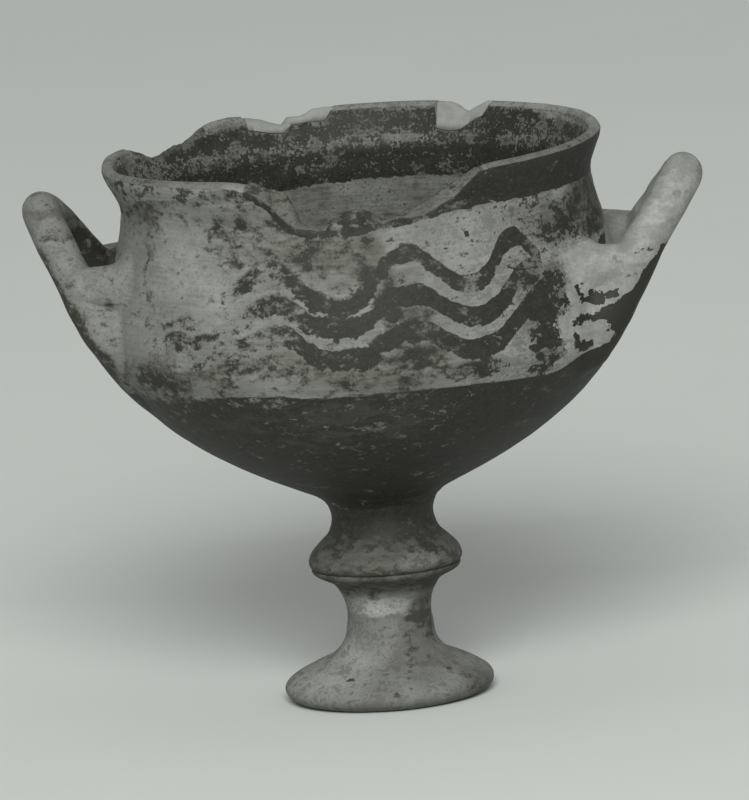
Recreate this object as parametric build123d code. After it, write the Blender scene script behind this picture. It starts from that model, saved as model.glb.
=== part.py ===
from build123d import *
from math import asin, atan2, cos, degrees, hypot, radians, sin, sqrt
import os

# A stemmed two-handled drinking cup of painted clay, thrown in sections and luted together.
# Millimetres. The origin is the centre of the foot's resting face, +Z is up, +X is the side of
# the thicker handle, and the broken stretch of rim with the wavy bands below it faces -Y.
# Azimuths are degrees round the bowl, from the front (or the back) towards +X.

# Foot with the lower stem, whose collar is the lower half of the stem's ring
join_height = 38.4
join_groove = 0.7
collar_drop = 1.1
collar_inset = 0.8
lower_waist_rise = 20.6
lower_waist_radius = 12.1
foot_edge_height = 3.4
foot_radius = 30.0
foot_edge_bevel = 3.5
foot_rest_width = 7.5
hollow_depth = 13.0
hollow_top_radius = 5.0

# Upper stem, a bell from the join up to the bowl's seat, whose lower edge is the upper half of
# the ring
upper_stem_height = 19.6
ring_rise = 1.9
ring_radius = 22.0
stem_waist_drop = 4.6
stem_waist_inset = 1.8

# Bowl, in its own upright frame, before it leans on its stem
bowl_height = 102.5
belly_rise = 48.0
neck_drop = 13.5
seat_radius = 16.4
belly_radius = 74.7
shoulder_inset = 7.0
lip_flare = 3.6
wall = 3.3
floor_thickness = 8.5
bowl_lean = 0.7

# Outline of the lower bowl between the seat and the belly, as shares of the radius and of the
# height that it gains
lower_bowl_shares = [
    (0.12, 0.09),
    (0.325, 0.21),
    (0.497, 0.33),
    (0.645, 0.45),
    (0.763, 0.57),
    (0.88, 0.72),
    (0.965, 0.87),
]

# Outline of the shoulder between the belly and the neck, in the same way
shoulder_shares = [
    (0.10, 0.24),
    (0.40, 0.50),
    (0.70, 0.72),
    (0.90, 0.88),
]

# Inside of the bowl, from the floor at the axis to the belly
bowl_inside_shares = [
    (0.28, 0.04),
    (0.46, 0.15),
    (0.60, 0.29),
    (0.80, 0.54),
    (0.925, 0.75),
]

# Outlines of the bell and of the collar below it, from a waist to the ring
bell_shares = [
    (0.03, 0.76),
    (0.21, 0.57),
    (0.60, 0.35),
    (0.93, 0.13),
]
collar_shares = [
    (0.03, 0.26),
    (0.14, 0.49),
    (0.36, 0.69),
    (0.72, 0.82),
    (0.93, 0.92),
]

# Outline of the foot from its edge up to the lower waist
foot_slope_shares = [
    (0.978, 0.07),
    (0.81, 0.184),
    (0.53, 0.325),
    (0.215, 0.466),
    (0.066, 0.607),
    (0.033, 0.75),
]

# Handles: rolls of clay bent into loops that stand up and outward from the shoulder. Each rises
# from its roots, set just inside the wall, to an apex that stands off from the belly.
handle_turn = -5.0
root_drop = 0.5
left_rise = 41.9
left_standoff = 20.6
left_roll_radius = 5.3
left_root_radius = 8.0
left_root_inset = 1.6
left_arch_half_width = 16.0
left_root_splay = 8.0
right_rise = 39.3
right_standoff = 25.2
right_roll_radius = 6.2
right_root_radius = 8.0
right_root_inset = 2.6
right_arch_half_width = 17.0
right_root_splay = 9.0

# Breaks in the rim: each has its depth below the rim, and an outline of azimuths with the share
# of that depth at each
front_break_depth = 15.2
front_break_shares = [
    (-27.5, 0.04),
    (-24.0, 0.10),
    (-21.2, 0.23),
    (-19.6, 0.46),
    (-17.2, 0.75),
    (-13.8, 0.92),
    (-9.0, 0.97),
    (-3.0, 1.00),
    (5.5, 0.94),
    (10.2, 0.90),
    (17.8, 0.80),
    (22.2, 0.66),
    (24.8, 0.46),
    (27.5, 0.23),
    (32.5, 0.0),
]
side_chip_depth = 4.5
side_chip_shares = [
    (-69.0, 0.0),
    (-63.5, 0.44),
    (-58.5, 0.90),
    (-56.0, 1.0),
    (-48.8, 0.85),
    (-44.2, 0.72),
    (-40.0, 0.38),
    (-36.5, 0.0),
]
left_fill_chip_depth = 3.8
left_fill_chip_shares = [
    (-25.0, 0.0),
    (-22.0, 0.26),
    (-19.0, 0.71),
    (-16.5, 1.0),
    (-15.2, 0.60),
    (-11.5, 0.52),
    (-10.2, 0.33),
    (-8.8, 0.0),
]
right_fill_chip_depth = 3.2
right_fill_chip_shares = [
    (25.5, 0.0),
    (27.8, 0.53),
    (30.5, 1.0),
    (33.5, 0.47),
    (35.5, 0.0),
]

# Plaster that makes up lost wall at the back of the rim, outlined like the breaks
left_fill_depth = 5.8
left_fill_shares = [
    (-26.0, 0.0),
    (-25.6, 0.62),
    (-20.0, 0.92),
    (-16.5, 1.0),
    (-14.5, 0.68),
    (-8.8, 0.61),
    (-5.8, 0.63),
    (-4.2, 0.17),
    (-3.2, 0.0),
]
right_fill_depth = 8.5
right_fill_shares = [
    (22.2, 0.0),
    (22.2, 0.90),
    (25.8, 1.0),
    (29.2, 0.94),
    (32.8, 0.65),
    (35.1, 0.50),
    (36.0, 0.25),
    (37.4, 0.0),
]

# How far a cutter runs past what it cuts
overrun = 5.0

# Heights above the resting face, and radii, that follow from the sizes above
collar_height = join_height - collar_drop
collar_radius = ring_radius - collar_inset
lower_waist_height = foot_edge_height + lower_waist_rise
foot_base_radius = foot_radius - foot_edge_bevel
hollow_radius = foot_base_radius - foot_rest_width
ring_height = join_height + ring_rise
seat_height = join_height + upper_stem_height
stem_waist_height = seat_height - stem_waist_drop
stem_waist_radius = seat_radius - stem_waist_inset
belly_height = seat_height + belly_rise
rim_height = seat_height + bowl_height
neck_height = rim_height - neck_drop
neck_radius = belly_radius - shoulder_inset
rim_radius = neck_radius + lip_flare
lip_radius = wall / 2
root_height = belly_height - root_drop


def between(start, end, shares):
    """Outline points whose radius and height lie at the given shares of the way."""
    (start_radius, start_height), (end_radius, end_height) = start, end
    return [
        (start_radius + (end_radius - start_radius) * radius_share,
         start_height + (end_height - start_height) * height_share)
        for radius_share, height_share in shares
    ]


def turned(edges):
    """The solid that a closed outline of radii and heights makes on the wheel."""
    return revolve(make_face(Plane.XZ * Wire(edges)), axis=Axis.Z)


def bowl_outline():
    """Outside of the bowl, from the edge of its seat up to the lip."""
    seat = (seat_radius, seat_height)
    belly = (belly_radius, belly_height)
    neck = (neck_radius, neck_height)
    lip = (rim_radius, rim_height - lip_radius)
    points = [seat, *between(seat, belly, lower_bowl_shares), belly]
    points += [*between(belly, neck, shoulder_shares), neck, lip]
    return Spline(*points)


def bowl_blank():
    """The bowl's outside as a full solid, which the handles are pressed against."""
    outside = bowl_outline()
    top = Polyline((rim_radius, rim_height - lip_radius), (rim_radius, rim_height + overrun),
                   (0, rim_height + overrun), (0, seat_height), (seat_radius, seat_height))
    return turned([outside, *top.edges()])


def bowl_wall():
    """The whole bowl as it was thrown, with a rounded lip and no breaks."""
    lip_height = rim_height - lip_radius
    inner_lip = (rim_radius - wall, lip_height)
    inner_neck = (neck_radius - wall, neck_height)
    inner_belly = (belly_radius - wall, belly_height)
    floor = (0, seat_height + floor_thickness)
    lip = ThreePointArc((rim_radius, lip_height), (rim_radius - lip_radius, rim_height), inner_lip)
    down = [inner_lip, inner_neck]
    down += [(radius - wall, height) for radius, height in
             reversed(between((belly_radius, belly_height), (neck_radius, neck_height),
                              shoulder_shares[1::2]))]
    down += [inner_belly, *reversed(between(floor, inner_belly, bowl_inside_shares)), floor]
    inside = Spline(*down)
    base = Polyline(floor, (0, seat_height), (seat_radius, seat_height))
    return turned([bowl_outline(), lip, inside, *base.edges()])


def rim_cutter(outline, depth, radius, side):
    """A block over one stretch of rim; side is -1 for the front and +1 for the back."""
    points = [(radius * sin(radians(azimuth)), rim_height - depth * share)
              for azimuth, share in outline]
    top = rim_height + overrun
    points = [(points[0][0], top), *points, (points[-1][0], top)]
    face = make_face(Plane.XZ * Polyline(*points, close=True))
    return extrude(face, amount=rim_radius + overrun, dir=(0, side, 0))


def leg(length, top_radius, root_radius):
    """A tapering leg up +Z from the origin, with a round end below it."""
    half_round = root_radius * sin(radians(45))
    end = ThreePointArc((0, -root_radius), (half_round, -half_round), (root_radius, 0))
    side = Polyline((root_radius, 0), (top_radius, length), (0, length), (0, -root_radius))
    return turned([end, *side.edges()])


def handle(rise, standoff, roll_radius, root_radius, root_inset, arch_half_width, root_splay):
    """A loop over +X: a round arch on two legs that spread and thicken to their rounded roots."""
    half_spread = arch_half_width + root_splay
    apex = Vector(belly_radius + standoff - roll_radius, 0, root_height + rise)
    foot_of_loop = Vector(sqrt(belly_radius ** 2 - half_spread ** 2) - root_inset, 0, root_height)
    up = (apex - foot_of_loop).normalized()
    across = Vector(0, 1, 0)
    arch_centre = apex - up * arch_half_width
    leg_drop = (arch_centre - foot_of_loop).length
    spread = degrees(atan2(half_spread, leg_drop)
                     - asin(arch_half_width / hypot(half_spread, leg_drop)))
    frame = Plane(origin=arch_centre, x_dir=across, z_dir=across.cross(up))
    start = frame * Rot(0, 0, spread) * Pos(arch_half_width, 0, 0) * Rot(90, 0, 0)
    loop = revolve(start * Circle(roll_radius), axis=Axis(arch_centre, frame.z_dir),
                   revolution_arc=180 - 2 * spread)
    for side in (-1, 1):
        root = foot_of_loop + across * (side * half_spread)
        spring = (arch_centre + across * (side * arch_half_width * cos(radians(spread)))
                  + up * (arch_half_width * sin(radians(spread))))
        loop += Plane(origin=root, z_dir=spring - root) * leg(
            (spring - root).length, roll_radius, root_radius)
    return loop


def leaned(shape):
    """The shape turned with the bowl, about the middle of the seat, so that +X rises."""
    return shape.rotate(Axis((0, 0, seat_height), (0, 1, 0)), -bowl_lean)


def upper_stem():
    """The bell under the bowl, trimmed at the top to the leaning seat."""
    waist = (stem_waist_radius, stem_waist_height)
    ring = (ring_radius, ring_height)
    edge = (ring_radius - join_groove, join_height)
    side = Spline((seat_radius, seat_height), waist, *reversed(between(waist, ring,
                  [(radius, 1 - height) for radius, height in reversed(bell_shares)])), ring, edge)
    above = Polyline(edge, (0, join_height), (0, seat_height + overrun),
                     (seat_radius, seat_height + overrun), (seat_radius, seat_height))
    bell = turned([side, *above.edges()])
    over = Box(2 * ring_radius, 2 * ring_radius, 2 * overrun,
               align=(Align.CENTER, Align.CENTER, Align.MIN))
    return bell - leaned(Pos(0, 0, seat_height) * over)


def foot():
    """Lower stem and spreading foot, hollow underneath, with the collar under the ring."""
    edge = (collar_radius - join_groove, join_height)
    collar = (collar_radius, collar_height)
    waist = (lower_waist_radius, lower_waist_height)
    toe = (foot_radius, foot_edge_height)
    side = Spline(edge, collar, *reversed(between(waist, collar, collar_shares)), waist,
                  *reversed(between((lower_waist_radius, foot_edge_height),
                                    (foot_radius, lower_waist_height), foot_slope_shares)),
                  toe, (foot_base_radius, 0))
    under = Polyline((foot_base_radius, 0), (hollow_radius, 0), (hollow_top_radius, hollow_depth),
                     (0, hollow_depth), (0, join_height), edge)
    return turned([side, *under.edges()])


front_break = rim_cutter(front_break_shares, front_break_depth, neck_radius, -1)
side_chip = rim_cutter(side_chip_shares, side_chip_depth, rim_radius, 1)
left_fill_chip = rim_cutter(left_fill_chip_shares, left_fill_chip_depth, rim_radius, 1)
right_fill_chip = rim_cutter(right_fill_chip_shares, right_fill_chip_depth, rim_radius, 1)
left_fill = rim_cutter(left_fill_shares, left_fill_depth, rim_radius, 1)
right_fill = rim_cutter(right_fill_shares, right_fill_depth, rim_radius, 1)
thrown_bowl = bowl_wall()
pressed = bowl_blank()
left_handle = Rot(0, 0, 180 + handle_turn) * handle(
    left_rise, left_standoff, left_roll_radius, left_root_radius, left_root_inset,
    left_arch_half_width, left_root_splay)
right_handle = Rot(0, 0, handle_turn) * handle(
    right_rise, right_standoff, right_roll_radius, right_root_radius, right_root_inset,
    right_arch_half_width, right_root_splay)

parts = {
    "bowl": leaned(thrown_bowl - front_break - side_chip - left_fill - right_fill),
    "rim_fill_left": leaned((thrown_bowl & left_fill) - left_fill_chip),
    "rim_fill_right": leaned((thrown_bowl & right_fill) - right_fill_chip),
    "handle_left": leaned(left_handle - pressed),
    "handle_right": leaned(right_handle - pressed),
    "upper_stem": upper_stem(),
    "foot": foot(),
}

os.makedirs("parts", exist_ok=True)
for name, shape in parts.items():
    export_step(shape, f"parts/{name}.step")
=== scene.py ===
import math
import bmesh
import bpy
import numpy as np
from mathutils import Matrix, Vector


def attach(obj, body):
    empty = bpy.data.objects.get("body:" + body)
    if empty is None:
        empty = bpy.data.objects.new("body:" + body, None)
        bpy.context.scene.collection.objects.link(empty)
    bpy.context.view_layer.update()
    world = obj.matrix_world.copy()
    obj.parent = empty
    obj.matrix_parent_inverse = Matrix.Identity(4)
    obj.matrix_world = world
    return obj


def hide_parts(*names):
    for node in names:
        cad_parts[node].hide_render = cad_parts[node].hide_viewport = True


# A stemmed two-handled cup of painted clay. Shapes are worked out in millimetres in the frame of
# the CAD and written in metres. Azimuths are degrees round the cup from the front (-Y) towards +X,
# so +X is at 90, and the back at -180 and 180.

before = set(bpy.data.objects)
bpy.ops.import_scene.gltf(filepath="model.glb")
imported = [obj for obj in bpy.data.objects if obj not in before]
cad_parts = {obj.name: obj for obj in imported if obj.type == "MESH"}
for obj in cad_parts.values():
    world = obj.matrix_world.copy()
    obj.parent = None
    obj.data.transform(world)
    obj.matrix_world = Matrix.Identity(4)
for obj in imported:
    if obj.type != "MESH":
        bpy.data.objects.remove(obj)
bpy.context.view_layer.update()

MM = 0.001
SEAT = 58.0  # height at which the bowl sits on its stem
LEAN = math.radians(0.7)  # of the bowl on its seat
HANDLE_TURN = math.radians(-5.0)  # of both handles about the axis
RIM = 160.5  # height of the rim where it is whole
LIP = 3.3 / 2  # radius of the lip, half the wall
FLOOR = 66.5  # height of the floor inside the bowl
COLUMNS = 720  # points round the bowl
ROWS_OUT, ROWS_IN = 70, 58  # points up the bowl's outside and down its inside
TURNED_COLUMNS = 480  # points round the stem and the foot
WELD = 0.004 * MM  # points closer than this are one


# ---- curves and meshes

def through(points, count):
    """A smooth curve through the points, as count samples evenly spaced along it."""
    p = np.array(points, float)
    t = np.concatenate([[0], np.cumsum(np.linalg.norm(np.diff(p, axis=0), axis=1) ** 0.5)])
    slope = np.diff(p, axis=0) / np.diff(t)[:, None]
    gap = np.diff(t)
    tangent = np.empty_like(p)
    tangent[1:-1] = ((slope[:-1] * gap[1:, None] + slope[1:] * gap[:-1, None])
                     / (gap[1:] + gap[:-1])[:, None])
    tangent[0], tangent[-1] = slope[0], slope[-1]
    fine = []
    for i in range(len(p) - 1):
        u = np.linspace(0, 1, 40, endpoint=i == len(p) - 2)[:, None]
        fine.append((2 * u ** 3 - 3 * u ** 2 + 1) * p[i]
                    + (u ** 3 - 2 * u ** 2 + u) * gap[i] * tangent[i]
                    + (3 * u ** 2 - 2 * u ** 3) * p[i + 1]
                    + (u ** 3 - u ** 2) * gap[i] * tangent[i + 1])
    fine = np.vstack(fine)
    run = length_along(fine)
    at = np.linspace(0, run[-1], count)
    return np.stack([np.interp(at, run, fine[:, k]) for k in range(p.shape[1])], axis=1)


def length_along(points):
    """How far along the line each point lies."""
    return np.concatenate([[0], np.cumsum(np.linalg.norm(np.diff(points, axis=0), axis=1))])


def around(table, azimuth):
    """Reads a closed table of (azimuth, value)."""
    a, v = np.array(sorted(table), float).T
    return np.interp(azimuth, np.concatenate([a - 360, a, a + 360]), np.tile(v, 3))


def smooth(low, high, x):
    """0 below low and 1 above high, smooth between."""
    s = np.clip((np.asarray(x, float) - low) / (high - low), 0, 1)
    return s * s * (3 - 2 * s)


def lumps(p, size, seed):
    """Smooth made-up unevenness between about -1 and 1 over points in mm, size mm across."""
    sines, reach = 14, 4.2
    draw = np.random.default_rng(seed)
    total = np.zeros(len(p))
    for _ in range(sines):
        way = draw.normal(size=3)
        way *= 2 * math.pi / size * draw.uniform(0.55, 1.5) / np.linalg.norm(way)
        total += np.sin(p @ way + draw.uniform(0, 2 * math.pi))
    return total / reach


def leaned(p):
    """Points turned with the bowl on its seat, so that +X rises."""
    x, z = p[:, 0].copy(), p[:, 2] - SEAT
    return np.stack([math.cos(LEAN) * x - math.sin(LEAN) * z, p[:, 1],
                     SEAT + math.sin(LEAN) * x + math.cos(LEAN) * z], axis=1)


def polar(radius, azimuth, z):
    """Points round the axis. The azimuths may be one row for all rows of the others."""
    a = np.radians(azimuth * np.ones_like(z))
    return np.stack([radius * np.sin(a), -radius * np.cos(a), z], axis=-1).reshape(-1, 3)


def off_axis(p):
    """How far points are from the axis."""
    return np.hypot(p[:, 0], p[:, 1])


def grid_faces(rows, columns, closed=True):
    """Quads over rows of points, wrapped round in the columns when closed."""
    r = np.arange(rows - 1)[:, None]
    c = np.arange(columns if closed else columns - 1)[None, :]
    n = (c + 1) % columns
    ring, after = r * columns, (r + 1) * columns
    return np.stack([ring + c, ring + n, after + n, after + c], axis=-1).reshape(-1, 4).tolist()


def capped_grid(rows, columns, first, last):
    """Quads over rings of points, with fans from the end rings to the two points numbered."""
    faces = grid_faces(rows, columns)
    end = (rows - 1) * columns
    for c in range(columns):
        n = (c + 1) % columns
        faces += [(n, c, first), (end + c, end + n, last)]
    return faces


def placed(name, data):
    """A new object in the scene."""
    obj = bpy.data.objects.new(name, data)
    bpy.context.scene.collection.objects.link(obj)
    return obj


def piece(name, verts, faces, node, material, marks=None):
    """A mesh object from points in mm, which stands for a CAD node. Marks are numbers per point."""
    mesh = bpy.data.meshes.new(name)
    mesh.from_pydata((np.asarray(verts) * MM).tolist(), [], [list(f) for f in faces])
    for key, values in (marks or {}).items():
        mark = mesh.attributes.new(key, "FLOAT", "POINT")
        mark.data.foreach_set("value", np.asarray(values, np.float32))
    joined = bmesh.new()
    joined.from_mesh(mesh)
    bmesh.ops.remove_doubles(joined, verts=joined.verts, dist=WELD)
    joined.to_mesh(mesh)
    joined.free()
    mesh.validate()
    mesh.polygons.foreach_set("use_smooth", np.ones(len(mesh.polygons), bool))
    mesh.materials.append(material)
    mesh.update()
    obj = placed(name, mesh)
    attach(obj, "root")
    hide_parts(node)
    return obj


# ---- the bowl

# Outlines as (radius, height)
OUTSIDE_POINTS = [
    (14.7, 54.6), (15.4, 56.2), (16.4, 58), (19.4, 60.3), (23.4, 62.3), (29.5, 65.2), (35.3, 68.1),
    (45.3, 73.8), (53.8, 79.6), (60.8, 85.4), (67.4, 92.6), (72.4, 99.8), (74.5, 105), (74.6, 110),
    (73.9, 116.5), (71.9, 126.5), (69.8, 135.5), (68.3, 142.5), (67.7, 147), (68.1, 150.3),
    (69.6, 154), (71, 157.2), (71.4, 159.2)]
OUTSIDE = through(OUTSIDE_POINTS, 1200)
INSIDE = through([
    (67.9, 159.4), (67.2, 157), (65.8, 153.5), (64.6, 150), (64.4, 147), (65.2, 142), (66.6, 135.5),
    (68.7, 126.5), (70.7, 116.5), (71.3, 110), (71.1, 105), (69.3, 100), (66, 95.4), (57.1, 87.2),
    (42.8, 77.6), (32.8, 72.2), (20, 68.2), (9, 66.7), (0.4, 66.5)], 1200)

# The rim's top edge, as (azimuth, height) of its outer arris, and of its inner arris in front
RIM_OUTER = [
    (-180, 160.7), (-171.2, 160.8), (-157, 160.4), (-155, 160.8), (-150.5, 161.3), (-145.5, 161),
    (-143.5, 160.5), (-141.6, 159.2), (-140, 158.1), (-138, 157.2), (-135.8, 156.5), (-133, 156.3),
    (-131.2, 156), (-128.6, 155.6), (-126.5, 155.1), (-124.4, 155), (-123, 155), (-121.2, 155.6),
    (-119, 157), (-116.5, 158.1), (-113.8, 159.2), (-111, 160.4), (-100, 160.9), (-90, 160.4),
    (-74, 160.5), (-64, 160.9), (-57, 161), (-49, 161.2), (-40, 161.4), (-33, 161.5),
    (-28.4, 161.2), (-26.8, 160.5), (-25.2, 159.5), (-23.2, 158), (-21.5, 156.7), (-19.8, 154.6),
    (-18.5, 151.8), (-16.8, 149.3), (-15.5, 148.4), (-13.2, 147.8), (-10.8, 147.3), (-7.5, 146.9),
    (-6.4, 148.6), (-4.6, 149), (-2.6, 150.6), (-1.2, 149.4), (0.2, 148.9), (1.4, 150.8),
    (3, 149.9), (5, 148.4), (6.2, 147.1), (7.4, 148.3), (10.2, 148.9), (13, 148.4), (16, 148.8),
    (19, 149.8), (22, 151.4), (24.8, 153.5), (27.5, 157), (30, 159.3), (32.5, 160.6), (36, 160.7),
    (60, 160.4), (90, 160.6), (110, 160.7), (128.2, 160.4), (145.5, 160.2), (157.8, 160.4),
    (165, 160.6)]
RIM_INNER = [
    (-100, 160.8), (-90, 160.6), (-74, 160.8), (-64.5, 161.3), (-57, 161.5), (-49, 161.8),
    (-40.5, 162), (-33, 162.2), (-27.5, 162.1), (-23.8, 161.6), (-20.8, 160.6), (-18.5, 159.4),
    (-16.8, 158.9), (-15.8, 156.8), (-14.8, 153.2), (-14.5, 151.5), (-14, 149.5), (-12, 147.9),
    (-9.8, 147.4), (-7.8, 147.8), (-6.2, 149.6), (-4.4, 150.3), (-2.2, 151.8), (1.6, 152.2),
    (3.4, 151.4), (6.4, 149), (8, 149.4), (11, 150), (15, 151.2), (18.8, 153.2), (22.4, 155.4),
    (26.3, 157.8), (30.4, 160.2), (35.2, 160.7), (60, 160.4), (90, 160.6)]
# Where plaster makes up the wall: the lower edge of each fill, and its own top edge
FILLS = {
    "rim_fill_left": (
        [(-176.8, 160.9), (-175.8, 159.5), (-174.2, 156.8), (-171.2, 157), (-168.5, 156.8),
         (-165.5, 156.6), (-163.5, 154.7), (-160, 155.2), (-157.2, 156.1), (-154.4, 156.9),
         (-153.9, 160.9)],
        [(-180, 160.6), (-171.6, 160.5), (-170.6, 160), (-169.8, 159.2), (-168.5, 158.6),
         (-165.2, 158.7), (-164.6, 158), (-163.5, 156.9), (-162.6, 157.2), (-161, 157.8),
         (-158, 159.4), (-155, 160.4), (-153, 160.5)]),
    "rim_fill_right": (
        [(142.5, 160.9), (143.9, 158.4), (144.9, 156.2), (147.2, 155.1), (150.8, 152.5),
         (152.6, 152.1), (154.2, 152), (156.2, 152.4), (157.7, 152.8), (158, 160.9)],
        [(142, 160.5), (144.5, 160.2), (146.5, 159), (148.3, 158), (149.5, 157.2), (151, 157.7),
         (152.2, 158.8), (154.5, 160), (158.5, 160.4)]),
}


def outside_radius(z):
    return np.interp(z, OUTSIDE[:, 1], OUTSIDE[:, 0])


def inside_radius(z):
    return np.interp(z, INSIDE[::-1, 1], INSIDE[::-1, 0])


def hollow_side(azimuth, middle, width):
    """1 at the middle azimuth, falling smoothly to 0 at the width either side."""
    away = np.abs((azimuth - middle + 180) % 360 - 180)
    return 1 - smooth(0, width, away)


def unevenness(p, inner):
    """How far wheel ridges, lumps and dents move the wall outward, in mm. The inside has more."""
    z = p[:, 2]
    slow = lumps(p, 60, 5)
    ridges = np.sin(z * 1.53 + slow * 1.5) * 0.5 + np.sin(z * 0.83 + 1.0 + slow) * 0.5
    off = 0.10 * lumps(p, 34, 3) + 0.05 * lumps(p, 9, 4)
    off += np.where(inner, 0.22, 0.07) * ridges * smooth(20, 45, off_axis(p))
    azimuth = np.degrees(np.arctan2(p[:, 0], -p[:, 1]))
    off -= (0.9 * hollow_side(azimuth, -95, 50) * smooth(116, 131, z)
            * (1 - smooth(145, 157, z)))
    off -= (0.6 * hollow_side(azimuth, -100, 80) * smooth(60, 70, z)
            * (1 - smooth(88, 100, z)))
    return off * smooth(57, 63, z) - 0.06 * np.maximum(SEAT - z, 0) ** 2


def weathered(p, inner):
    """Moves wall points in mm outward by their unevenness, which fades at the axis."""
    out = p.copy()
    out[:, :2] *= (1 + unevenness(p, inner) / np.maximum(off_axis(p), 8))[:, None]
    return out


def wall_loop(low, top_out, top_in, broken, rows_top):
    """Rows of radius and height up the outside from low, over the top edge and down the inside.

    Rows keep their height all round and fall together at the top edge, which is sharp where it is
    broken. low is None for the whole wall. Gives (radius, z, mark) arrays, with 0 outside, 1 on the
    top edge and 2 inside as marks.
    """
    sharp = 0.8 * broken
    edge_out = top_out - LIP * (1 - sharp)
    edge_in = top_in - LIP * (1 - sharp)
    up = length_along(OUTSIDE)
    at = np.linspace(0, np.interp(edge_out.max(), OUTSIDE[:, 1], up), ROWS_OUT)[:, None]
    z_out = np.minimum(np.interp(at, up, OUTSIDE[:, 1]), edge_out)
    down = length_along(INSIDE)
    at = np.linspace(np.interp(-edge_in.max(), -INSIDE[:, 1], down), down[-1], ROWS_IN)[:, None]
    z_in = np.minimum(np.interp(at, down, INSIDE[:, 1]), edge_in)
    r_in = np.where(z_in < edge_in, np.interp(at, down, INSIDE[:, 0]), inside_radius(z_in))
    if low is not None:
        z_out, z_in = np.maximum(z_out, low), np.maximum(z_in, low)
        r_in = inside_radius(z_in)
    r_out = outside_radius(z_out)
    t = np.linspace(0, 1, rows_top + 2)[1:-1, None]
    middle, half = (r_out[-1] + r_in[0]) / 2, (r_out[-1] - r_in[0]) / 2
    level = edge_out + (edge_in - edge_out) * t
    round_over = np.stack([middle + half * np.cos(np.pi * t), level + LIP * np.sin(np.pi * t)])
    straight = np.stack([middle + half * (1 - 2 * t), level + 0.25 * np.sin(np.pi * t)])
    r_top, z_top = round_over + (straight - round_over) * sharp
    radius = np.vstack([r_out, r_top, r_in])
    z = np.vstack([z_out, z_top, z_in])
    mark = np.concatenate([np.zeros(ROWS_OUT), np.ones(rows_top), np.full(ROWS_IN, 2)])
    return radius, z, np.repeat(mark[:, None], len(top_out), axis=1)


def fracture_noise(azimuth, row, seed):
    """Grain of a broken edge, between about -1 and 1."""
    p = np.stack([azimuth * 1.25, row * 3.0, np.zeros_like(azimuth)], axis=-1).reshape(-1, 3)
    return (0.6 * lumps(p, 5.0, seed) + 0.4 * lumps(p, 2.2, seed + 1)).reshape(azimuth.shape)


def make_bowl(material):
    """The bowl, cut down where its rim is broken and where a fill sits in it."""
    azimuth = np.arange(COLUMNS) * 360 / COLUMNS - 180
    top = around(RIM_OUTER, azimuth)
    for lower, _ in FILLS.values():
        edge = np.array(sorted(lower))
        inside = (azimuth > edge[0, 0]) & (azimuth < edge[-1, 0])
        top = np.where(inside, np.minimum(top, np.interp(azimuth, *edge.T)), top)
    inner = np.array(RIM_INNER)
    at_front = (azimuth > inner[0, 0]) & (azimuth < inner[-1, 0])
    top_in = np.where(at_front, np.interp(azimuth, *inner.T), top)
    broken = smooth(0.15, 1.3, RIM - np.minimum(top, top_in))
    row = np.zeros_like(azimuth)
    top = (top + broken * 0.17 * fracture_noise(azimuth, row, 20)
           + 0.08 * fracture_noise(azimuth * 0.4, row, 24))
    top_in = top_in + broken * 0.15 * fracture_noise(azimuth, row + 4, 22)
    radius, z, mark = wall_loop(None, top, top_in, broken, 8)
    rows = np.arange(len(z))[:, None] * np.ones_like(z)
    grain = fracture_noise(azimuth * np.ones_like(z), rows, 26)
    z = z + (mark == 1) * broken * 0.28 * grain
    p = weathered(polar(radius, azimuth, z), mark.ravel() == 2)
    faces = capped_grid(len(z), COLUMNS, len(p), len(p) + 1)
    p = np.vstack([p, [(0, 0, SEAT - 2), (0, 0, FLOOR)]])
    chipped = mark == 1
    chipped[1:] |= chipped[:-1]
    marks = {"inside": np.append((mark == 2).ravel() * 1.0, (0, 1)),
             "broken": np.append(np.where(chipped, broken, 0).ravel(), (0, 0)),
             "lip": np.append((mark == 1).ravel() * 1.0, (0, 0))}
    return piece("bowl_body", leaned(p), faces, "bowl", material, marks)


def make_fill(name, material):
    """A piece of the wall in plaster, a little thinner than the clay beside it."""
    lower, upper = FILLS[name]
    edge, clear = np.array(sorted(lower)), 0.35
    azimuth = np.arange(edge[0, 0] + clear, edge[-1, 0] - clear, 0.4)
    row = np.zeros_like(azimuth)
    top = (np.interp(azimuth, *np.array(sorted(upper)).T)
           + 0.10 * fracture_noise(azimuth, row, 31))
    low = np.minimum(np.interp(azimuth, *edge.T) + 0.12, top - 0.9)
    broken = 0.75 * smooth(0.2, 1.6, RIM - top)
    radius, z, _ = wall_loop(low, top, top, broken, 6)
    middle = (radius[0] + radius[-1]) / 2
    radius = middle + (radius - middle) * 0.955
    p = weathered(polar(radius, azimuth, z), False)
    rows, columns = z.shape
    faces = grid_faces(rows, columns, closed=False)
    base = (rows - 1) * columns
    faces += [(c, base + c, base + c + 1, c + 1) for c in range(columns - 1)]
    for c, turn in ((0, 1), (columns - 1, -1)):
        faces.append([r * columns + c for r in range(rows)][::turn])
    return piece(name + "_plaster", leaned(p), faces, name, material)


# ---- handles

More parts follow.
